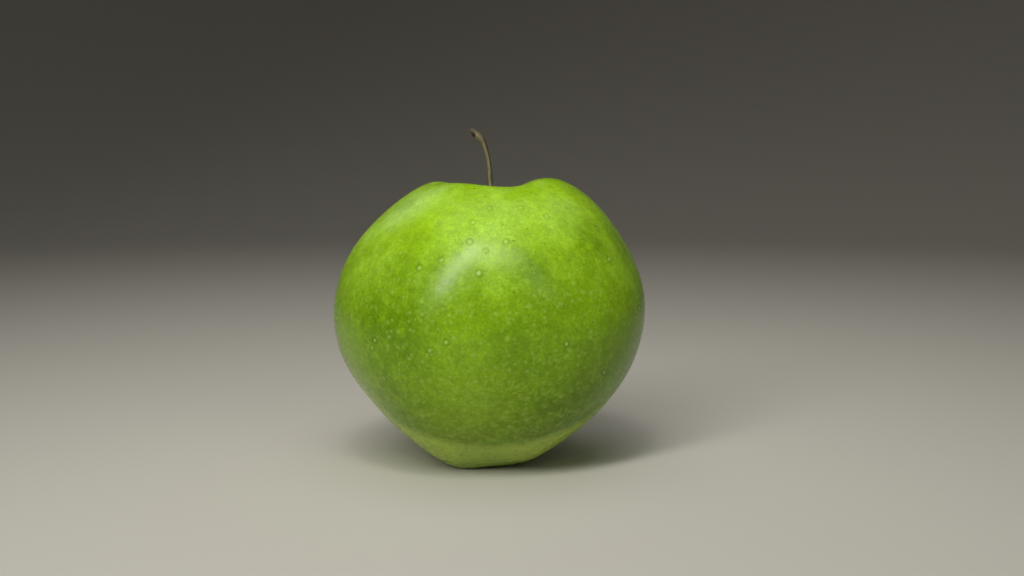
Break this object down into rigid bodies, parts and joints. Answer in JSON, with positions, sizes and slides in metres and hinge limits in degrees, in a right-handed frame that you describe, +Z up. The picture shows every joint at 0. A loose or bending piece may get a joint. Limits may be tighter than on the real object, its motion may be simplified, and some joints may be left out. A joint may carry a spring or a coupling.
{
  "type": "green apple",
  "caption": "Whole green apple with a five-lobed base, a stem rising from its top cavity and a dried calyx in its basin.",
  "frame": {"origin": "on the resting surface, under the middle of the fruit's width and depth", "axes": "+Z up along the fruit's core, +X to the fruit's right seen from the front, -Y to the front"},
  "size_m": [0.077, 0.0752, 0.0822],
  "materials": {
    "skin": "satin",
    "stem_bark": "matte",
    "dried_sepal": "matte"
  },
  "bodies": {
    "root": {"fruit": "skin", "stem": "stem_bark", "calyx": "dried_sepal"}
  },
  "joints": []
}
